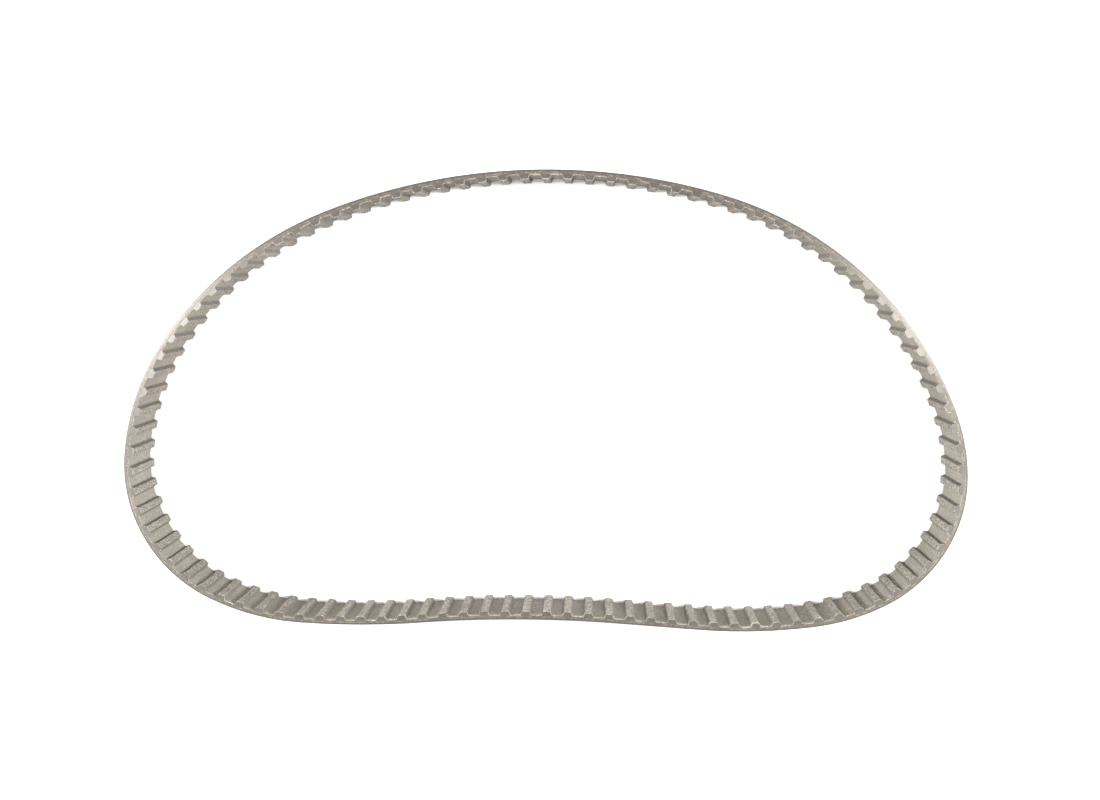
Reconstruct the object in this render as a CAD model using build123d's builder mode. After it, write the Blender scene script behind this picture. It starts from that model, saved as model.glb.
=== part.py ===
"""Toothed timing belt, standing on one cut edge as a closed, freely bent loop.

Millimetres, +Z up. The belt's width runs along Z, from the edge it stands on at z = 0 to the
edge at z = belt_width, and the origin is under the middle of the loop's outline. The teeth face
into the loop. Every piece follows the pitch line, the line through the cords' centres, whose
length is exactly teeth x pitch.
"""
from build123d import *

import os
from collections import namedtuple
from math import copysign, cos, radians, sin, sqrt, tan

import numpy as np

os.makedirs("parts", exist_ok=True)

# Belt section, the 3/8 inch trapezoidal drive-belt standard
teeth = 101
pitch = 9.525
belt_width = 25.4
total_thickness = 4.10  # back to tooth crest
tooth_height = 1.91  # land to crest
tooth_base = 4.65  # tooth width where its flanks meet the land
flank_angle = 20.0  # each flank from the tooth's centre line
tip_radius = 0.51
root_radius = 0.51
pitch_line_depth = 0.686  # land surface to the cords' centres

# Layers
facing_thickness = 0.20  # woven nylon jacket over teeth and lands
facing_edge_setback = 0.10  # the jacket's cut edges sit this far inside the rubber's
cord_diameter = 0.80
cord_turns = 10  # turns of each of the two cords

# The loop, counter-clockwise from above. One short straight run comes first, then these arcs:
# name, radius of the pitch line as drawn, and turn in degrees (negative bends the belt outward)
straight_run = 4 * pitch
drawn_arcs = [
    ("right_foot", 245.0, 12.1),
    ("right_heel", 95.0, 19.6),
    ("right_bend", 62.7, 65.2),
    ("right_side", 86.6, 18.5),
    ("right_shoulder", 159.3, 51.6),
    ("crown", 270.6, 37.8),
    ("left_shoulder", 163.7, 32.4),
    ("left_side", 108.0, 30.4),
    ("left_bend", 65.4, 70.2),
    ("left_heel", 108.9, 22.7),
    ("left_foot", 388.0, 8.2),
    ("hump", 589.7, -8.7),
]
straight_heading = 355.2  # direction of the straight run, degrees from +X
closing_arcs = ("right_shoulder", "left_bend")  # their radii take up the last of the closure
first_tooth = 6.4  # first tooth's centre, past the start of the straight run

# Worked out from the sizes above
pitch_length = teeth * pitch
back_height = total_thickness - tooth_height - pitch_line_depth  # cord centres to the back
cushion_depth = pitch_line_depth - facing_thickness  # cord centres to the jacket in the lands
crest_depth = pitch_line_depth + tooth_height
nearly_straight = 1e5  # bend radius that stands for none
cord_spacing = belt_width / (2 * cord_turns)
cord_rise = 2 * cord_spacing  # the two cords lie side by side, so each climbs two spacings a turn
cord_heights_s = [cord_spacing * (2 * turn + 0.5) for turn in range(cord_turns)]
cord_heights_z = [height + cord_spacing for height in cord_heights_s]


# The loop's geometry
def along(heading):
    """Unit vector of travel."""
    return Vector(cos(radians(heading)), sin(radians(heading)))


def inward(heading):
    """Unit vector square to the travel, pointing into the loop."""
    return Vector(-sin(radians(heading)), cos(radians(heading)))


def solve_radii():
    """Signed radii of the arcs: one scale for all and two corrections, so that the pitch line
    closes on its start and measures exactly pitch_length."""
    heading = straight_heading
    steps = []
    for name, radius, turn in drawn_arcs:
        chord = inward(heading) - inward(heading + turn)
        steps.append([chord.X, chord.Y, radians(turn)])
        heading += turn
    steps = np.array(steps)
    signed = np.array([radius if turn > 0 else -radius for name, radius, turn in drawn_arcs])
    run = along(straight_heading) * straight_run
    closing = [index for index, arc in enumerate(drawn_arcs) if arc[0] in closing_arcs]
    unknowns = np.column_stack([signed @ steps, steps[closing[0]], steps[closing[1]]])
    scale, *corrections = np.linalg.solve(unknowns, [-run.X, -run.Y, pitch_length - straight_run])
    radii = signed * scale
    radii[closing] += corrections
    return [float(radius) for radius in radii]


Stretch = namedtuple("Stretch", "name start heading radius turn begins length")
arc_radii = solve_radii()


def lay_out(start):
    """The straight run and the arcs after it, each starting where the last one ends."""
    stretches = [Stretch("straight_run", start, straight_heading, 0.0, 0.0, 0.0, straight_run)]
    place = start + along(straight_heading) * straight_run
    heading = straight_heading
    begins = straight_run
    for (name, _, turn), radius in zip(drawn_arcs, arc_radii):
        length = radius * radians(turn)
        stretches.append(Stretch(name, place, heading, radius, turn, begins, length))
        centre = place + inward(heading) * radius
        heading += turn
        place = centre - inward(heading) * radius
        begins += length
    return stretches


def loop_edges(stretches, depth):
    """The closed line that lies depth inside the pitch line, as arcs that share its centres."""
    with BuildLine() as loop:
        for stretch in stretches:
            start = stretch.start + inward(stretch.heading) * depth
            if stretch.turn == 0:
                Line(start, start + along(stretch.heading) * stretch.length)
            else:
                radius = abs(stretch.radius - depth)
                JernArc(start, along(stretch.heading), radius, stretch.turn)
    return loop.edges()


first_draft = Wire(loop_edges(lay_out(Vector(0, 0)), -back_height)).bounding_box()
loop = lay_out(first_draft.center() * -1)


def place_at(distance):
    """Location on the pitch line: local X along the belt, local Y into the loop."""
    for stretch in loop:
        if stretch.begins <= distance < stretch.begins + stretch.length:
            travelled = distance - stretch.begins
            if stretch.turn == 0:
                point = stretch.start + along(stretch.heading) * travelled
                return stretch.name, Location(point, (0, 0, stretch.heading))
            heading = stretch.heading + stretch.turn * travelled / stretch.length
            centre = stretch.start + inward(stretch.heading) * stretch.radius
            point = centre - inward(heading) * stretch.radius
            return stretch.name, Location(point, (0, 0, heading))


tooth_places = [place_at(first_tooth + tooth * pitch) for tooth in range(teeth)]


# Shapes that several pieces share
def section_plane(stretch):
    """Plane across the belt where a stretch starts: local X into the loop, local Y up."""
    return Plane(stretch.start, x_dir=inward(stretch.heading), z_dir=along(stretch.heading))


def turn_round(section, stretch):
    """Carry a section round one arc of the loop."""
    centre = stretch.start + inward(stretch.heading) * stretch.radius
    axis = Axis(centre, (0, 0, 1 if stretch.turn > 0 else -1))
    revolve(section, axis=axis, revolution_arc=abs(stretch.turn))


def climb_one_turn(heights, mode):
    """In the straight run, slant each turn of a cord but the last up to where the next begins."""
    run = loop[0]
    slant = along(run.heading) * straight_run + Vector(0, 0, cord_rise)
    with BuildSketch(section_plane(run)) as cords:
        with Locations(*[(0, height) for height in heights[:-1]]):
            Circle(cord_diameter / 2)
    extrude(cords.sketch, amount=slant.length, dir=slant.normalized(), mode=mode)


def grooved_layer(from_depth, to_depth):
    """A rubber layer of the full width, grooved by the cords where it meets the pitch line."""
    thickness = to_depth - from_depth
    middle = ((from_depth + to_depth) / 2, belt_width / 2)
    with BuildSketch(section_plane(loop[0])) as strip:
        with Locations(middle):
            Rectangle(thickness, belt_width)
    extrude(strip.sketch, amount=straight_run, dir=along(loop[0].heading))
    climb_one_turn(cord_heights_s, Mode.SUBTRACT)
    climb_one_turn(cord_heights_z, Mode.SUBTRACT)
    for stretch in loop[1:]:
        with BuildSketch(section_plane(stretch)) as strip:
            with Locations(middle):
                Rectangle(thickness, belt_width)
            with Locations(*[(0, height) for height in cord_heights_s + cord_heights_z]):
                Circle(cord_diameter / 2, mode=Mode.SUBTRACT)
        turn_round(strip.sketch, stretch)


def wound_cord(heights):
    """One cord, turn after turn, from one end of the straight run to its other end."""
    climb_one_turn(heights, Mode.ADD)
    for stretch in loop[1:]:
        with BuildSketch(section_plane(stretch)) as cords:
            with Locations(*[(0, height) for height in heights]):
                Circle(cord_diameter / 2)
        turn_round(cords.sketch, stretch)


def tooth_outline(base_depth, inset, corner_radius):
    """Trapezoid with rounded tips, inset from the finished tooth, its base at base_depth."""
    slope = tan(radians(flank_angle))
    half_at_land = tooth_base / 2 - inset / cos(radians(flank_angle))
    half_base = half_at_land + (pitch_line_depth - base_depth) * slope
    half_crest = half_at_land - (crest_depth - inset - pitch_line_depth) * slope
    crest = crest_depth - inset
    with BuildSketch() as outline:
        with BuildLine():
            Polyline(
                (-half_base, base_depth),
                (half_base, base_depth),
                (half_crest, crest),
                (-half_crest, crest),
                close=True,
            )
        make_face()
        fillet(outline.vertices().group_by(Axis.Y)[-1], radius=corner_radius)
    return outline.sketch


def finished_tooth(stretch):
    """The jacket's surface over one tooth: roots tangent to the land's own bend, flanks, tips."""
    bend = stretch.radius if stretch.turn else nearly_straight
    up_flank = Vector(-sin(radians(flank_angle)), cos(radians(flank_angle)))
    off_flank = Vector(cos(radians(flank_angle)), sin(radians(flank_angle)))
    bend_centre = Vector(0, bend)
    beside_foot = Vector(tooth_base / 2, pitch_line_depth) + off_flank * root_radius
    to_foot = beside_foot - bend_centre
    reach = bend - pitch_line_depth - root_radius
    back = to_foot.dot(up_flank)
    climb = -back - copysign(sqrt(back**2 - to_foot.dot(to_foot) + reach**2), bend)
    root_centre = beside_foot + up_flank * climb
    on_flank = root_centre - off_flank * root_radius
    on_land = bend_centre + (root_centre - bend_centre) * ((bend - pitch_line_depth) / reach)
    half_crest = tooth_base / 2 - tooth_height * tan(radians(flank_angle))
    with BuildLine() as half:
        RadiusArc(on_land, on_flank, root_radius)
        FilletPolyline(on_flank, (half_crest, crest_depth), (0, crest_depth), radius=tip_radius)
        mirror(about=Plane.YZ)
    return half.line, on_land


# Backing rubber: the smooth outer back, down to the middle of the cords
with BuildPart() as backing_rubber:
    grooved_layer(-back_height, 0)
backing_rubber.part.label = "backing_rubber"
export_step(backing_rubber.part, "parts/backing_rubber.step")

# Cord cushion: the thin rubber layer between the cords and the jacket
with BuildPart() as cord_cushion:
    grooved_layer(0, cushion_depth)
cord_cushion.part.label = "cord_cushion"
export_step(cord_cushion.part, "parts/cord_cushion.step")

# Tensile cords: one of S twist and one of Z twist, wound side by side
with BuildPart() as tensile_cord_s:
    wound_cord(cord_heights_s)
tensile_cord_s.part.label = "tensile_cord_s_twist"
export_step(tensile_cord_s.part, "parts/tensile_cord_s_twist.step")

with BuildPart() as tensile_cord_z:
    wound_cord(cord_heights_z)
tensile_cord_z.part.label = "tensile_cord_z_twist"
export_step(tensile_cord_z.part, "parts/tensile_cord_z_twist.step")

# Tooth cores: one rubber bar to each tooth, kept together by the stretch of the loop they are on
core_depth = cushion_depth - facing_thickness  # drawn past the cushion's face, then cut back to it
core_shape = tooth_outline(core_depth, facing_thickness, tip_radius - facing_thickness)
cushion_face = loop_edges(loop, cushion_depth)
for stretch in loop:
    places = [place for name, place in tooth_places if name == stretch.name]
    with BuildPart() as tooth_cores:
        with BuildSketch():
            with Locations(*places):
                add(core_shape)
            make_face(cushion_face, mode=Mode.INTERSECT)
        extrude(amount=belt_width)
    tooth_cores.part.label = f"tooth_cores_{stretch.name}"
    export_step(tooth_cores.part, f"parts/{tooth_cores.part.label}.step")

# Facing jacket: one woven sleeve over every tooth and land
by_name = {stretch.name: stretch for stretch in loop}
toothed_line = []
land_ends = []
for stretch_name, place in tooth_places:
    outline, on_land = finished_tooth(by_name[stretch_name])
    toothed_line += [place * edge for edge in outline.edges()]
    mirrored = Vector(-on_land.X, on_land.Y)
    land_ends.append([(place * Location(end)).position for end in (mirrored, on_land)])
for tooth in range(teeth):
    _, halfway = place_at((first_tooth + (tooth + 0.5) * pitch) % pitch_length)
    on_land = (halfway * Location((0, pitch_line_depth))).position
    next_tooth = (tooth + 1) % teeth
    toothed_line.append(ThreePointArc(land_ends[tooth][1], on_land, land_ends[next_tooth][0]))

with BuildPart() as facing_jacket:
    with BuildSketch(Plane.XY.offset(facing_edge_setback)):
        make_face(cushion_face)
        make_face(toothed_line, mode=Mode.SUBTRACT)
        with Locations(*[place for _, place in tooth_places]):
            add(core_shape, mode=Mode.SUBTRACT)
    extrude(amount=belt_width - 2 * facing_edge_setback)
facing_jacket.part.label = "facing_jacket"
export_step(facing_jacket.part, "parts/facing_jacket.step")
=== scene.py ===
"""Toothed timing belt, standing on its cut edge in a freely bent loop.

Every belt piece is worked out from one curve, the pitch line through the cords' centres: a short
straight run and twelve tangent arcs. A point of the belt is given by its distance along that line,
its depth into the loop from it, and its height above the edge the belt stands on. All of these are
in millimetres until the meshes are made, which are in metres.
"""

import bpy
import numpy as np
from mathutils import Euler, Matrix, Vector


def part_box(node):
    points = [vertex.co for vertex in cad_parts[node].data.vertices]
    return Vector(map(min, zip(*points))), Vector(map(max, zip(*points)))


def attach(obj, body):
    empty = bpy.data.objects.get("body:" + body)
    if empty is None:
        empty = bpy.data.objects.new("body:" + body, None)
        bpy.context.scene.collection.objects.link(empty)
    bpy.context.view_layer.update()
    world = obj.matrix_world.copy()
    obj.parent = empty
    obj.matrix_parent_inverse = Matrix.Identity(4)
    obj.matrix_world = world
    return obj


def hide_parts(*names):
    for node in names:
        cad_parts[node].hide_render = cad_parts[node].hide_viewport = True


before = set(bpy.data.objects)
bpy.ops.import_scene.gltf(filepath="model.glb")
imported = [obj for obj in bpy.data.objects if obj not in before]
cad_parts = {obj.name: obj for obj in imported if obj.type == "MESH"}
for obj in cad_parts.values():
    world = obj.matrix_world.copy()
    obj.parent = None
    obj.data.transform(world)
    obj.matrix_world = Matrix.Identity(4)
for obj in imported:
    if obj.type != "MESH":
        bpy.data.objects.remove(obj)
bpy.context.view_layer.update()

MM = 0.001

# The belt's section, the same as the part's but for the two radii, which are a little rounder
teeth = 101
pitch = 9.525
belt_width = 25.4
tooth_height = 1.91
tooth_base = 4.65
flank_slope = np.tan(np.radians(20.0))
tip_radius = 0.70
root_radius = 0.65
land_depth = 0.686
back_depth = -1.504
facing_thickness = 0.20
cushion_depth = land_depth - facing_thickness
crest_depth = land_depth + tooth_height
first_tooth = 6.4
pitch_length = teeth * pitch

# The loop, the same as the part's: radius of the pitch line, and turn in degrees
straight_run = 4 * pitch
straight_heading = np.radians(355.2)
drawn_arcs = np.array([
    (245.0, 12.1),
    (95.0, 19.6),
    (62.7, 65.2),
    (86.6, 18.5),
    (159.3, 51.6),
    (270.6, 37.8),
    (163.7, 32.4),
    (108.0, 30.4),
    (65.4, 70.2),
    (108.9, 22.7),
    (388.0, 8.2),
    (589.7, -8.7),
])
closing_arcs = [4, 8]  # the ones whose radii are corrected so that the loop closes


# The pitch line
def lay_out_loop():
    """Lengths, bends and start headings of the stretches. A closed loop's chords sum to nothing,
    which with the known length gives one scale and two radius corrections as a linear system."""
    turns = np.radians(drawn_arcs[:, 1])
    radii = drawn_arcs[:, 0] * np.sign(turns)
    headings = straight_heading + np.concatenate([[0.0], np.cumsum(turns)])
    inward = np.column_stack([-np.sin(headings), np.cos(headings)])
    steps = np.column_stack([inward[:-1] - inward[1:], turns])
    run = straight_run * np.array([np.cos(straight_heading), np.sin(straight_heading)])
    unknowns = np.column_stack([radii @ steps, *steps[closing_arcs]])
    solved = np.linalg.solve(unknowns, [-run[0], -run[1], pitch_length - straight_run])
    radii = radii * solved[0]
    radii[closing_arcs] += solved[1:]
    lengths = np.concatenate([[straight_run], radii * turns])
    bends = np.concatenate([[0.0], 1 / radii])
    start_headings = np.concatenate([[straight_heading], headings[:-1]])
    return lengths, bends, start_headings


def chord(travelled, bend, heading):
    """From the start of an arc to a point on it: as long as the arc times sin(half its turn) over
    half its turn, and turned by that half."""
    half_turn = travelled * bend / 2
    length = travelled * np.sinc(half_turn / np.pi)
    direction = heading + half_turn
    return np.stack([length * np.cos(direction), length * np.sin(direction)], axis=-1)


lengths, bends, start_headings = lay_out_loop()
begins = np.concatenate([[0.0], np.cumsum(lengths)[:-1]])
whole_chords = chord(lengths, bends, start_headings)
starts = np.concatenate([[[0.0, 0.0]], np.cumsum(whole_chords, axis=0)[:-1]])


def follow(distance, depth):
    """Plan position, and heading: the arc's point at that distance, moved depth along the inward
    normal."""
    wrapped = np.mod(distance, pitch_length)
    arc = np.searchsorted(begins, wrapped, side="right") - 1
    travelled = wrapped - begins[arc]
    heading = start_headings[arc] + travelled * bends[arc]
    inward = np.stack([-np.sin(heading), np.cos(heading)], axis=-1)
    on_line = starts[arc] + chord(travelled, bends[arc], start_headings[arc])
    return on_line + inward * np.asarray(depth)[..., None], heading


# The loop's outline is centred where the frame's backing rubber is
outline_points = 20000
outline, _ = follow(np.linspace(0, pitch_length, outline_points), back_depth)
low, high = np.array(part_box("backing_rubber"))
starts = starts + (low + high)[:2] / 2 / MM - (outline.min(axis=0) + outline.max(axis=0)) / 2


# Numbers that vary smoothly along the belt
def drift(count, wavelength, seed):
    """Closed random curve with a standard deviation of 1: white noise smoothed by a Gaussian whose
    own standard deviation is wavelength / pi samples."""
    noise = np.random.default_rng(seed).normal(size=count)
    waves = np.fft.rfftfreq(count)
    smooth = np.fft.irfft(np.fft.rfft(noise) * np.exp(-((waves * wavelength) ** 2) * 2), count)
    return smooth / smooth.std()


# Meshes
def ring_mesh(name, points, along, across, fields, cut_columns=()):
    """Closed skin over a grid of points that joins up with itself in both directions, in
    millimetres. along and across are its UV coordinates, one longer than the grid each way.
    Faces that start on the cut columns take the piece's second material."""
    rows, columns = points.shape[:2]
    row, column = np.meshgrid(np.arange(rows), np.arange(columns), indexing="ij")
    corners = [(0, 0), (1, 0), (1, 1), (0, 1)]
    quads = np.stack(
        [((row + i) % rows) * columns + (column + j) % columns for i, j in corners], axis=-1
    ).reshape(-1, 4)
    uvs = np.stack(
        [np.stack([along[row + i], across[column + j]], axis=-1) for i, j in corners], axis=2
    ).reshape(-1, 4, 2)
    vertices = points.reshape(-1, 3) * MM
    # each face makes a pyramid with the origin, and their volumes sum to less than nothing
    # where the skin is inside out
    a, b, c, d = (vertices[quads[:, k]] for k in range(4))
    if np.einsum("ij,ij->", a, np.cross(b, c) + np.cross(c, d)) < 0:
        quads = quads[:, ::-1]
        uvs = uvs[:, ::-1]
    second_material = np.isin(column, cut_columns).ravel()
    return finish_mesh(name, vertices, quads, uvs, fields, second_material)


def finish_mesh(name, vertices, quads, uvs, fields, second_material=None):
    """Object from arrays: vertices, four-sided faces, a UV map, named values on the vertices, and
    which faces take the second material."""
    mesh = bpy.data.meshes.new(name)
    mesh.vertices.add(len(vertices))
    mesh.vertices.foreach_set("co", vertices.ravel())
    mesh.loops.add(quads.size)
    mesh.loops.foreach_set("vertex_index", quads.ravel().astype(np.int32))
    mesh.polygons.add(len(quads))
    mesh.polygons.foreach_set("loop_start", np.arange(0, quads.size, 4, dtype=np.int32))
    mesh.polygons.foreach_set("use_smooth", np.ones(len(quads), dtype=bool))
    if second_material is not None:
        mesh.polygons.foreach_set("material_index", second_material.astype(np.int32))
    mesh.update(calc_edges=True)
    if uvs is not None:
        layer = mesh.uv_layers.new(name="belt")
        layer.data.foreach_set("uv", uvs.ravel())
    for label, values in fields.items():
        attribute = mesh.attributes.new(label, "FLOAT", "POINT")
        attribute.data.foreach_set("value", values.ravel())
    mesh.validate()
    piece = bpy.data.objects.new(name, mesh)
    bpy.context.scene.collection.objects.link(piece)
    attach(piece, "root")
    return piece


# Facing jacket
def fillet(corner, towards, away, radius, count):
    """Round corner between two straight lines: points at even angles on the tangent circle."""
    before = (corner - towards) / np.linalg.norm(corner - towards)
    after = (away - corner) / np.linalg.norm(away - corner)
    turn = np.arctan2(before[0] * after[1] - before[1] * after[0], before @ after)
    side = np.array([-before[1], before[0]]) * np.sign(turn)
    centre = corner - before * radius * np.tan(abs(turn) / 2) + side * radius
    angles = np.linspace(0, turn, count)
    arm = -side * radius
    return centre + np.column_stack([
        arm[0] * np.cos(angles) - arm[1] * np.sin(angles),
        arm[0] * np.sin(angles) + arm[1] * np.cos(angles),
    ])


def pitch_profile():
    """One pitch of the jacket's face, land to land, as distance from the tooth's centre and depth:
    a trapezoid whose four corners are tangent arcs, with evenly spaced points on the flats."""
    half_crest = tooth_base / 2 - tooth_height * flank_slope
    clear_of_root = 1.1
    land, foot = np.array([-pitch / 2, land_depth]), np.array([-tooth_base / 2, land_depth])
    shoulder, middle = np.array([-half_crest, crest_depth]), np.array([0.0, crest_depth])
    half = np.vstack([
        np.linspace(land, foot - [clear_of_root, 0], 4),
        fillet(foot, land, shoulder, root_radius, 6),
        np.linspace(foot, shoulder, 6)[2:4],
        fillet(shoulder, foot, middle, tip_radius, 6),
        np.linspace(shoulder, middle, 5)[2:4],
    ])
    return np.vstack([half, middle, half[::-1] * [-1, 1]])[:-1]


def jacket_surface(section):
    """Plan points of the jacket, tooth after tooth, from a section like pitch_profile's: each tooth
    keeps its shape square to its own place, each land follows the pitch line, and the two are
    blended over the roots, from 2.0 to 2.9 mm off the tooth's centre."""
    x, depth = section[..., 0], section[..., 1]
    tooth = first_tooth + np.arange(teeth)[:, None] * pitch
    centre, heading = follow(tooth + 0 * x, 0.0)
    travel = np.stack([np.cos(heading), np.sin(heading)], axis=-1)
    inward = np.stack([-np.sin(heading), np.cos(heading)], axis=-1)
    rigid = centre + travel * x[..., None] + inward * depth[..., None]
    bent, _ = follow(tooth + x, depth)
    weight = np.clip((np.abs(x) - 2.0) / 0.9, 0, 1)[..., None]
    return (rigid * (1 - weight) + bent * weight).reshape(-1, 2)


def make_facing_jacket():
    """Woven sleeve: the face and, one thickness behind it along its normal, the bonded side. A
    closed random curve makes the face uneven, and others the rims ragged. Values on the vertices
    say where the crests, the painted shade on flanks and roots, and the bare rims are."""
    profile = pitch_profile()
    count = len(profile)
    ahead = np.roll(profile, -1, axis=0)
    ahead[-1, 0] += pitch
    behind = np.roll(profile, 1, axis=0)
    behind[0, 0] -= pitch
    tangent = (ahead - behind) / np.linalg.norm(ahead - behind, axis=1)[:, None]
    normal = np.column_stack([-tangent[:, 1], tangent[:, 0]])
    points_round = teeth * count
    uneven_height, uneven_points = 0.018, 30
    unevenness = uneven_height * drift(points_round, uneven_points, 11).reshape(teeth, count)
    face = jacket_surface(profile + normal * unevenness[..., None])
    bonded = jacket_surface(profile - normal * facing_thickness)

    # columns of the grid: up the face from rim to rim, then down the bonded side
    rim = 0.02
    up_half = np.array([rim, rim + 0.05, 0.3, 1.2, 4.0, 8.5])
    up_face = np.concatenate([up_half, belt_width - up_half[::-1]])
    down_bonded = np.array([belt_width - rim - 0.02, belt_width - 0.3, 0.3, rim + 0.02])
    heights = np.concatenate([up_face, down_bonded])
    sides = np.concatenate([np.zeros(len(up_face)), np.ones(len(down_bonded))])
    plan = face[:, None] * (1 - sides)[None, :, None] + bonded[:, None] * sides[None, :, None]

    # a rim's columns share one seed, so the cloth there rises and frays away as one
    lower_rim, upper_rim = 3, 4
    rim_columns = {
        0: lower_rim, 1: lower_rim, 10: upper_rim, 11: upper_rim, 12: upper_rim, 15: lower_rim
    }
    ragged_points, ragged_height = 2.5, 0.035
    flare, flare_spread = 0.02, 0.06
    outward = (face - bonded) / facing_thickness
    ragged = np.zeros((points_round, len(heights)))
    for column, seed in rim_columns.items():
        ragged[:, column] = ragged_height * drift(points_round, ragged_points, seed)
        if column < len(up_face):
            flared = flare + flare_spread * drift(points_round, ragged_points, seed + 10)
            plan[:, column] += outward * flared[:, None]
    points = np.dstack([plan, np.maximum(heights[None, :] + ragged, 0)])

    run = np.linalg.norm(ahead - profile, axis=1)
    along = np.concatenate([[0], np.cumsum(np.tile(run, teeth))])
    across = np.concatenate([heights, heights[:1]])
    crest = np.clip((profile[:, 1] - land_depth) / tooth_height, 0, 1)
    # painted shade: strongest where the flank slopes 58 degrees, none at 27, and a band along each
    # root
    steep = np.clip((np.abs(normal[:, 0]) - 0.45) / 0.4, 0, 1)
    root_place, root_spread = 2.42, 0.24
    root = np.exp(-(((np.abs(profile[:, 0]) - root_place) / root_spread) ** 2))
    painted_shade = np.maximum(0.62 * steep, 0.35 * root)
    # bare thread ends fade away from the rims, and the lower ones are fainter
    bare_depth = 0.16
    rims = np.exp(-(belt_width - heights) / bare_depth) + 0.3 * np.exp(-heights / bare_depth)
    shape = (teeth, count, len(heights))
    return ring_mesh("woven_facing_jacket", points, along, across, {
        "crest": np.broadcast_to(crest[None, :, None], shape),
        "painted_shade": np.broadcast_to(painted_shade[None, :, None], shape),
        "rim": np.broadcast_to(rims[None, None, :], shape),
    })


# Rubber layers
def make_layer(name, outer_depth, inner_depth, corner, seed):
    """Band of the full width between two depths. Its outline is the outer face, a quarter round,
    the upper cut edge, and the same mirrored below; the cut edges are a little uneven, always
    inwards."""
    count = 16 * teeth
    distance = np.arange(count) * pitch_length / count
    angles = np.radians([0, 30, 60])
    upper = np.vstack([
        [outer_depth, belt_width * 0.75],
        np.column_stack([
            outer_depth + corner * (1 - np.cos(angles)),
            belt_width - corner * (1 - np.sin(angles)),
        ]),
        np.column_stack([
            np.linspace(outer_depth + corner, inner_depth, 6),
            np.full(6, belt_width),
        ]),
    ])
    outline = np.vstack([upper, upper[::-1] * [1, -1] + [0, belt_width]])
    plan, _ = follow(distance[:, None], outline[:, 0][None, :])
    height = np.broadcast_to(outline[:, 1], plan.shape[:2]).copy()
    cut_columns = [*range(1, 9), *range(10, 18)]
    uneven_height, uneven_points = 0.014, 5
    for column in cut_columns[1:-1]:
        sign = -1 if outline[column, 1] > belt_width / 2 else 1
        height[:, column] += sign * np.abs(
            uneven_height * drift(count, uneven_points, seed + column)
        )
    step = np.linalg.norm(np.diff(outline, axis=0, append=outline[:1]), axis=1)
    fields = {"depth": np.broadcast_to(outline[:, 0], height.shape)}
    along = np.append(distance, pitch_length)
    across = np.concatenate([[0], np.cumsum(step)])
    return ring_mesh(name, np.dstack([plan, height]), along, across, fields, cut_columns)


# Loose filaments along the jacket's cut edges
def make_frayed_filaments():
    """Fine square tubes along curves: each leaves the cut edge, rises and curls over, as a
    straight reach plus a sideways bend that grows with the square of the distance. Some are
    scattered round the belt, and the rest crowd at two worn places."""
    rng = np.random.default_rng(21)
    scattered = rng.uniform(0, pitch_length, 620)
    worn = np.concatenate([rng.normal(62.5, 4.5, 170), rng.normal(445.0, 6.0, 110)])
    place = np.concatenate([scattered, worn])
    count = len(place)
    profile = pitch_profile()
    local = np.mod(place - first_tooth + pitch / 2, pitch) - pitch / 2
    depth = np.interp(local, profile[:, 0], profile[:, 1]) - facing_thickness / 2
    upper = rng.random(count) < 0.9
    base, _ = follow(place, depth)
    reach = rng.gamma(3.0, 0.16, count)
    lean = rng.uniform(0, 2 * np.pi, count)
    curl = rng.uniform(0, 2 * np.pi, count)

    stations = 6
    t = np.linspace(0, 1, stations)
    out = np.stack([np.cos(lean), np.sin(lean)], axis=-1)
    bend = np.stack([np.cos(curl), np.sin(curl)], axis=-1)
    sideways = out[:, None] * t[:, None] + bend[:, None] * t[:, None] ** 2
    plan = base[:, None] + 0.7 * reach[:, None, None] * sideways
    rise = 0.45 * reach[:, None] * (t - 0.75 * t**2)
    height = np.where(upper[:, None], belt_width - 0.08 + rise, 0.12 + 0.1 * rise)
    centre = np.dstack([plan, height])

    tangent = np.gradient(centre, axis=1)
    tangent /= np.linalg.norm(tangent, axis=2)[..., None]
    side = np.cross(tangent, [0, 0, 1.0])
    side /= np.linalg.norm(side, axis=2)[..., None]
    over = np.cross(side, tangent)
    filament_radius, taper = 0.045, 0.6
    radius = filament_radius * (1 - taper * t)[None, :, None]
    ring = np.stack([side, over, -side, -over], axis=2) * radius[:, :, None]
    vertices = (centre[:, :, None] + ring).reshape(-1, 3) * MM

    each = stations * 4
    thread, station, corner = np.meshgrid(
        np.arange(count), np.arange(stations - 1), np.arange(4), indexing="ij"
    )
    first = thread * each + station * 4
    following = (corner + 1) % 4
    quads = np.stack(
        [first + corner, first + following, first + 4 + following, first + 4 + corner], axis=-1
    )
    roots = np.arange(count)[:, None] * each + np.array([[3, 2, 1, 0]])
    tips = np.arange(count)[:, None] * each + each - np.array([[4, 3, 2, 1]])
    quads = np.vstack([quads.reshape(-1, 4), roots, tips])
    return finish_mesh("frayed_nylon_filaments", vertices, quads, None, {})


jacket = make_facing_jacket()
backing = make_layer("ground_backing_rubber", back_depth, 0.0, 0.25, 40)
# the cushion reaches 0.02 mm into the jacket, so that no gap shows between them
cushion = make_layer("adhesion_rubber_cushion", 0.0, cushion_depth + 0.02, 0.02, 80)
filaments = make_frayed_filaments()

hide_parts("facing_jacket")
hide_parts("backing_rubber")
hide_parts("cord_cushion")


# Materials
def srgb(code):
    """Linear colour of an sRGB hex value."""
    value = np.array([int(code[i:i + 2], 16) for i in (1, 3, 5)]) / 255
    linear = np.where(value <= 0.04045, value / 12.92, ((value + 0.055) / 1.055) ** 2.4)
    return (*linear, 1.0)


def new_material(name):
    """Material with an empty node tree."""
    material = bpy.data.materials.new(name)
    material.use_nodes = True
    material.node_tree.nodes.clear()
    return material, material.node_tree


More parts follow.
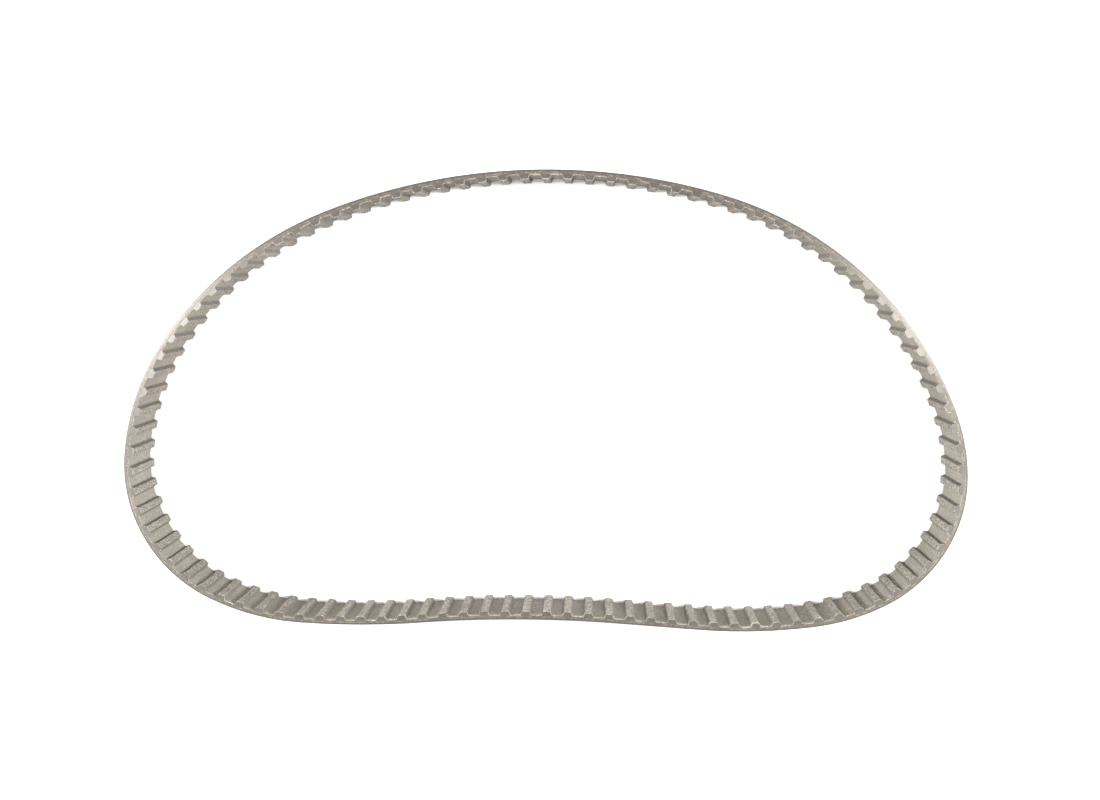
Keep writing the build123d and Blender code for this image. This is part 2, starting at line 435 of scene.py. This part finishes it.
def add(tree, kind, settings=None, stops=(), **inputs):
    """Add a node. settings are its own properties, and stops a colour ramp's colours by position.
    inputs are values, output sockets, or nodes for their first output, by name or as in_0, in_1."""
    node = tree.nodes.new(kind)
    for key, value in (settings or {}).items():
        setattr(node, key, value)
    for i, (position, colour) in enumerate(stops):
        elements = node.color_ramp.elements
        element = elements[i] if i < 2 else elements.new(position)
        element.position = position
        element.color = srgb(colour)
    for key, value in inputs.items():
        numbered = key.startswith("in_")
        socket = node.inputs[int(key[3:]) if numbered else key.replace("_", " ")]
        if isinstance(value, bpy.types.Node):
            value = value.outputs[0]
        if isinstance(value, bpy.types.NodeSocket):
            tree.links.new(value, socket)
        else:
            socket.default_value = value
    return node


def woven_nylon_facing():
    """Coated nylon fabric, plain woven and moulded to the teeth: warm grey and matt, with the
    threads' relief, and painted shade that darkens the flanks and the roots."""
    material, tree = new_material("woven nylon facing")
    unrolled = add(tree, "ShaderNodeUVMap", {"uv_map": "belt"})
    position = add(tree, "ShaderNodeTexCoord").outputs["Object"]
    crest, painted_shade, rim = (
        add(tree, "ShaderNodeAttribute", {"attribute_name": label}).outputs["Fac"]
        for label in ("crest", "painted_shade", "rim")
    )

    # threads 0.36 mm apart, drawn 0.42 mm apart so that the weave just shows: the height is a
    # half wave over each thread, and warp and weft change places from one crossing to the next
    phase = add(
        tree, "ShaderNodeVectorMath", {"operation": "SCALE"}, in_0=unrolled, Scale=np.pi / 0.42,
    )
    waves = add(tree, "ShaderNodeVectorMath", {"operation": "SINE"}, in_0=phase)
    humps = add(tree, "ShaderNodeVectorMath", {"operation": "ABSOLUTE"}, in_0=waves)
    signed = add(tree, "ShaderNodeSeparateXYZ", in_0=waves)
    height = add(tree, "ShaderNodeSeparateXYZ", in_0=humps)
    crossing = add(
        tree, "ShaderNodeMath", {"operation": "MULTIPLY"},
        in_0=signed.outputs[0], in_1=signed.outputs[1],
    )
    warp_over = add(
        tree, "ShaderNodeMath", {"operation": "GREATER_THAN"}, in_0=crossing, in_1=0.0,
    )
    weave = add(
        tree, "ShaderNodeMix", {"data_type": "FLOAT"},
        in_0=warp_over, in_2=height.outputs[0], in_3=height.outputs[1],
    )

    # coated clumps of thread 0.9 mm across, and slow changes of shade 28 mm long
    grain = add(
        tree, "ShaderNodeTexNoise",
        Vector=position, Scale=1 / (0.9 * MM), Detail=4.0, Roughness=0.75,
    )
    shade = add(
        tree, "ShaderNodeTexNoise",
        Vector=position, Scale=1 / (28 * MM), Detail=2.0, Roughness=0.5,
    )
    # the clumps stand out most on the crests
    contrast = add(
        tree, "ShaderNodeMath", {"operation": "MULTIPLY_ADD"}, in_0=crest, in_1=1.7, in_2=1.3,
    )
    speck = add(tree, "ShaderNodeMath", {"operation": "SUBTRACT"}, in_0=grain, in_1=0.5)
    tone = add(
        tree, "ShaderNodeMath", {"operation": "MULTIPLY_ADD"},
        in_0=speck, in_1=contrast, in_2=0.27,
    )
    for value, share in ((weave, 0.2), (shade, 0.3), (crest, -0.13)):
        tone = add(
            tree, "ShaderNodeMath", {"operation": "MULTIPLY_ADD"},
            in_0=value, in_1=share, in_2=tone,
        )
    base = add(
        tree, "ShaderNodeValToRGB",
        stops=[(0.0, "#433c33"), (0.35, "#7f776a"), (0.6, "#9c9385"), (0.9, "#d4cab7")],
        Fac=tone,
    )
    # painted shade: the base is mixed towards dark brown on the steep flanks and along the roots
    base_with_shade = add(
        tree, "ShaderNodeMix", {"data_type": "RGBA"}, in_0=painted_shade, in_6=base, in_7=srgb("#322c25"),
    )

    # cut ends of the threads, bare and pale, in tufts 0.7 mm apart
    tufts = add(
        tree, "ShaderNodeTexNoise",
        Vector=position, Scale=1 / (0.7 * MM), Detail=3.0, Roughness=0.8,
    )
    ends = add(
        tree, "ShaderNodeValToRGB",
        stops=[(0.42, "#6d6457"), (0.49, "#a99e8b"), (0.58, "#efe6d5")], Fac=tufts,
    )
    colour = add(
        tree, "ShaderNodeMix", {"data_type": "RGBA"},
        in_0=rim, in_6=base_with_shade.outputs[2], in_7=ends,
    )
    relief = add(
        tree, "ShaderNodeMath", {"operation": "MULTIPLY_ADD"}, in_0=grain, in_1=3.0, in_2=weave,
    )
    bump = add(tree, "ShaderNodeBump", Height=relief, Distance=0.4 * MM, Strength=1.0)
    shader = add(
        tree, "ShaderNodeBsdfPrincipled", Base_Color=colour.outputs[2], Normal=bump,
        Roughness=0.88, Specular_IOR_Level=0.25, Sheen_Weight=0.25, Sheen_Roughness=0.5,
    )
    add(tree, "ShaderNodeOutputMaterial", Surface=shader)
    return material


def ground_back():
    """Carbon-black rubber compound, ground with fine marks across the belt: dark grey and matt."""
    material, tree = new_material("ground rubber back")
    unrolled = add(tree, "ShaderNodeUVMap", {"uv_map": "belt"})
    position = add(tree, "ShaderNodeTexCoord").outputs["Object"]
    # grinding marks 0.35 mm apart, drawn 0.8 mm apart so that they show, and 12 mm long
    stretched = add(tree, "ShaderNodeMapping", in_0=unrolled, Scale=(1 / 0.8, 1 / 12.0, 1.0))
    marks = add(
        tree, "ShaderNodeTexNoise", Vector=stretched, Scale=1.0, Detail=4.0, Roughness=0.7,
    )
    # grit 0.7 mm across, and slow changes of shade 40 mm long
    grit = add(
        tree, "ShaderNodeTexNoise",
        Vector=position, Scale=1 / (0.7 * MM), Detail=4.0, Roughness=0.75,
    )
    shade = add(
        tree, "ShaderNodeTexNoise",
        Vector=position, Scale=1 / (40 * MM), Detail=2.0, Roughness=0.5,
    )
    tone = add(tree, "ShaderNodeMath", {"operation": "MULTIPLY"}, in_0=marks, in_1=0.35)
    for value, share in ((grit, 0.4), (shade, 0.5)):
        tone = add(
            tree, "ShaderNodeMath", {"operation": "MULTIPLY_ADD"},
            in_0=value, in_1=share, in_2=tone,
        )
    colour = add(
        tree, "ShaderNodeValToRGB",
        stops=[(0.4, "#262523"), (0.63, "#302f2c"), (0.85, "#3d3b38")], Fac=tone,
    )
    relief = add(
        tree, "ShaderNodeMath", {"operation": "MULTIPLY_ADD"}, in_0=grit, in_1=0.8, in_2=marks,
    )
    bump = add(tree, "ShaderNodeBump", Height=relief, Distance=0.025 * MM, Strength=0.8)
    shader = add(
        tree, "ShaderNodeBsdfPrincipled", Base_Color=colour, Normal=bump,
        Roughness=0.75, Specular_IOR_Level=0.3,
    )
    add(tree, "ShaderNodeOutputMaterial", Surface=shader)
    return material


# Gloss of rubber where the knife went through it. The blade drags along the belt, round the
# vertical axis, and stretches the highlight across its marks. The index is above rubber's usual
# 1.5, because the blade burnishes the cut, and the tint keeps the highlight faintly warm.
knife_gloss = {
    "Roughness": 0.5,
    "IOR": 1.75,
    "Specular_IOR_Level": 1.0,
    "Specular_Tint": srgb("#fbf6ed"),
    "Anisotropic": 0.9,
    "Anisotropic_Rotation": 0.25,
}


def cut_backing():
    """The backing where the knife went through it: grey-brown and speckled, with pale dashes of
    cord under the cut and a dark skin at the back."""
    material, tree = new_material("cut backing rubber")
    unrolled = add(tree, "ShaderNodeUVMap", {"uv_map": "belt"})
    position = add(tree, "ShaderNodeTexCoord").outputs["Object"]
    depth = add(tree, "ShaderNodeAttribute", {"attribute_name": "depth"}).outputs["Fac"]
    # grit 0.7 mm across
    grit = add(
        tree, "ShaderNodeTexNoise",
        Vector=position, Scale=1 / (0.7 * MM), Detail=4.0, Roughness=0.75,
    )
    cut = add(
        tree, "ShaderNodeValToRGB",
        stops=[(0.3, "#211e1a"), (0.5, "#3c3731"), (0.7, "#5e574d")], Fac=grit,
    )
    # the outermost cord shows 0.3 mm outside the pitch line, in dashes 1.6 mm long
    from_cord = add(
        tree, "ShaderNodeMath", {"operation": "COMPARE"}, in_0=depth, in_1=-0.3, in_2=0.16,
    )
    stretched = add(tree, "ShaderNodeMapping", in_0=unrolled, Scale=(1 / 1.6, 1 / 0.6, 1.0))
    dashes = add(
        tree, "ShaderNodeTexNoise", Vector=stretched, Scale=1.0, Detail=3.0, Roughness=0.7,
    )
    bared = add(
        tree, "ShaderNodeMapRange", Value=dashes, From_Min=0.48, From_Max=0.62, To_Max=0.5,
    )
    dash = add(tree, "ShaderNodeMath", {"operation": "MULTIPLY"}, in_0=from_cord, in_1=bared)
    corded = add(
        tree, "ShaderNodeMix", {"data_type": "RGBA"}, in_0=dash, in_6=cut, in_7=srgb("#b3a896"),
    )
    # the skin fades in from 0.4 to 0.2 mm under the back
    skin = add(
        tree, "ShaderNodeMapRange",
        Value=depth, From_Min=back_depth + 0.4, From_Max=back_depth + 0.2, To_Max=0.6,
    )
    colour = add(
        tree, "ShaderNodeMix", {"data_type": "RGBA"},
        in_0=skin, in_6=corded.outputs[2], in_7=srgb("#22211f"),
    )
    bump = add(tree, "ShaderNodeBump", Height=grit, Distance=0.05 * MM, Strength=0.6)
    around = add(
        tree, "ShaderNodeVectorMath", {"operation": "CROSS_PRODUCT"},
        in_0=(0, 0, 1), in_1=position,
    )
    shader = add(
        tree, "ShaderNodeBsdfPrincipled",
        Base_Color=colour.outputs[2], Normal=bump, Tangent=around, **knife_gloss,
    )
    add(tree, "ShaderNodeOutputMaterial", Surface=shader)
    return material


def cut_rubber(name, shades, grain_mm):
    """Knife-cut rubber compound, speckled with filler of that grain, with the blade's gloss."""
    material, tree = new_material(name)
    position = add(tree, "ShaderNodeTexCoord").outputs["Object"]
    grit = add(
        tree, "ShaderNodeTexNoise",
        Vector=position, Scale=1 / (grain_mm * MM), Detail=4.0, Roughness=0.7,
    )
    # slow changes of shade 11 mm long
    shade = add(
        tree, "ShaderNodeTexNoise",
        Vector=position, Scale=1 / (11 * MM), Detail=2.0, Roughness=0.5,
    )
    tone = add(
        tree, "ShaderNodeMath", {"operation": "MULTIPLY_ADD"}, in_0=shade, in_1=0.5, in_2=grit,
    )
    colour = add(
        tree, "ShaderNodeValToRGB", stops=list(zip((0.5, 0.75, 1.0), shades)), Fac=tone,
    )
    # drag marks 0.2 mm wide in x and 1.7 mm long in y
    stretched = add(tree, "ShaderNodeMapping", in_0=position, Scale=(5.0, 0.6, 1.0))
    drag = add(
        tree, "ShaderNodeTexNoise",
        Vector=stretched, Scale=1 / (1.0 * MM), Detail=3.0, Roughness=0.6,
    )
    relief = add(tree, "ShaderNodeMath", {"operation": "ADD"}, in_0=drag, in_1=grit)
    bump = add(tree, "ShaderNodeBump", Height=relief, Distance=0.05 * MM, Strength=0.6)
    around = add(
        tree, "ShaderNodeVectorMath", {"operation": "CROSS_PRODUCT"},
        in_0=(0, 0, 1), in_1=position,
    )
    shader = add(
        tree, "ShaderNodeBsdfPrincipled",
        Base_Color=colour, Normal=bump, Tangent=around, **knife_gloss,
    )
    add(tree, "ShaderNodeOutputMaterial", Surface=shader)
    return material


def treated_glass_cord():
    """Twisted glass filaments under a tan adhesive dip, which the twist stripes."""
    material, tree = new_material("treated glass cord")
    position = add(tree, "ShaderNodeTexCoord").outputs["Object"]
    # diagonal bands repeat every pi / 5 of 6 mm, so there is a stripe each 3.8 mm along x or y
    twist = add(
        tree, "ShaderNodeTexWave", {"bands_direction": "DIAGONAL"},
        Vector=position, Scale=1 / (6.0 * MM), Distortion=1.5, Detail=2.0,
    ).outputs["Fac"]
    colour = add(
        tree, "ShaderNodeValToRGB",
        stops=[(0.2, "#8a7350"), (0.5, "#b39b74"), (0.8, "#d0bd9a")], Fac=twist,
    )
    bump = add(tree, "ShaderNodeBump", Height=twist, Distance=0.05 * MM, Strength=0.6)
    shader = add(
        tree, "ShaderNodeBsdfPrincipled", Base_Color=colour, Normal=bump, Roughness=0.5,
    )
    add(tree, "ShaderNodeOutputMaterial", Surface=shader)
    return material


def loose_nylon():
    """Bare nylon filaments: off-white, half matt, and shaded where the coating clings."""
    material, tree = new_material("loose nylon filament")
    position = add(tree, "ShaderNodeTexCoord").outputs["Object"]
    # coating left in patches 2 mm long
    patches = add(
        tree, "ShaderNodeTexNoise",
        Vector=position, Scale=1 / (2.0 * MM), Detail=3.0, Roughness=0.6,
    )
    colour = add(
        tree, "ShaderNodeValToRGB", stops=[(0.35, "#b8b0a2"), (0.65, "#ece7dc")], Fac=patches,
    )
    bump = add(tree, "ShaderNodeBump", Height=patches, Distance=0.02 * MM, Strength=0.5)
    shader = add(
        tree, "ShaderNodeBsdfPrincipled", Base_Color=colour, Normal=bump, Roughness=0.6,
    )
    add(tree, "ShaderNodeOutputMaterial", Surface=shader)
    return material


adhesion_rubber = cut_rubber("adhesion rubber", ("#30281f", "#52463a", "#7a6c5b"), 0.8)
tooth_rubber = cut_rubber("moulded tooth rubber", ("#282724", "#3c3b36", "#524f4a"), 0.9)
cord_finish = treated_glass_cord()
# a layer's second material is for its cut edges: the cushion shows only those, so it has one twice
finishes = {
    jacket: ([woven_nylon_facing()], "nylon_facing"),
    backing: ([ground_back(), cut_backing()], "backing_rubber"),
    cushion: ([adhesion_rubber, adhesion_rubber], "cushion_rubber"),
    filaments: ([loose_nylon()], "nylon_facing"),
}
for piece, (materials, slot) in finishes.items():
    for material in materials:
        piece.data.materials.append(material)
for name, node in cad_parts.items():
    if name.startswith(("tooth_cores", "tensile_cord")):
        for material_slot in node.material_slots:
            is_core = name.startswith("tooth_cores")
            material_slot.material = tooth_rubber if is_core else cord_finish


# Floor, light and camera
def make_floor():
    """Plain pale table top under the belt: one square face."""
    half = 3.0
    mesh = bpy.data.meshes.new("floor")
    corners = [(-half, -half, 0), (half, -half, 0), (half, half, 0), (-half, half, 0)]
    mesh.from_pydata(corners, [], [(0, 1, 2, 3)])
    floor = bpy.data.objects.new("floor", mesh)
    bpy.context.scene.collection.objects.link(floor)
    material, tree = new_material("white table")
    shader = add(
        tree, "ShaderNodeBsdfPrincipled",
        Base_Color=srgb("#faf9f7"), Roughness=0.9, Specular_IOR_Level=0.1,
    )
    add(tree, "ShaderNodeOutputMaterial", Surface=shader)
    mesh.materials.append(material)


def add_softbox(name, place, target, size, power):
    """Square studio light aimed at a point: tipped from straight down by the aim's slope, and
    turned to the aim's bearing."""
    light = bpy.data.lights.new(name, "AREA")
    light.shape = "SQUARE"
    light.size = size
    light.energy = power
    lamp = bpy.data.objects.new(name, light)
    lamp.location = place
    aim = np.array(target) - np.array(place)
    tip = np.arctan2(np.hypot(aim[0], aim[1]), -aim[2])
    bearing = np.arctan2(aim[1], aim[0])
    lamp.rotation_euler = Euler((tip, 0, bearing - np.pi / 2))
    bpy.context.scene.collection.objects.link(lamp)


make_floor()
world = bpy.data.worlds.new("studio")
world.use_nodes = True
world.node_tree.nodes["Background"].inputs["Color"].default_value = (1, 1, 1, 1)
world.node_tree.nodes["Background"].inputs["Strength"].default_value = 1.0
bpy.context.scene.world = world
add_softbox("left_softbox", (-0.95, 0.10, 0.52), (0, 0, 0), 0.28, 21)
add_softbox("right_softbox", (0.95, 0.10, 0.52), (0, 0, 0), 0.28, 21)

camera_data = bpy.data.cameras.new("camera")
camera_data.sensor_width = 36.0
camera_data.lens = 36.2
camera = bpy.data.objects.new("camera", camera_data)
camera.location = (0.02355, 0.0616, 0.5149)
camera.rotation_mode = "YXZ"
camera.rotation_euler = Euler(np.radians([-6.854, 2.091, -0.636]), "YXZ")
bpy.context.scene.collection.objects.link(camera)
bpy.context.scene.camera = camera
bpy.context.scene.view_settings.view_transform = "Standard"
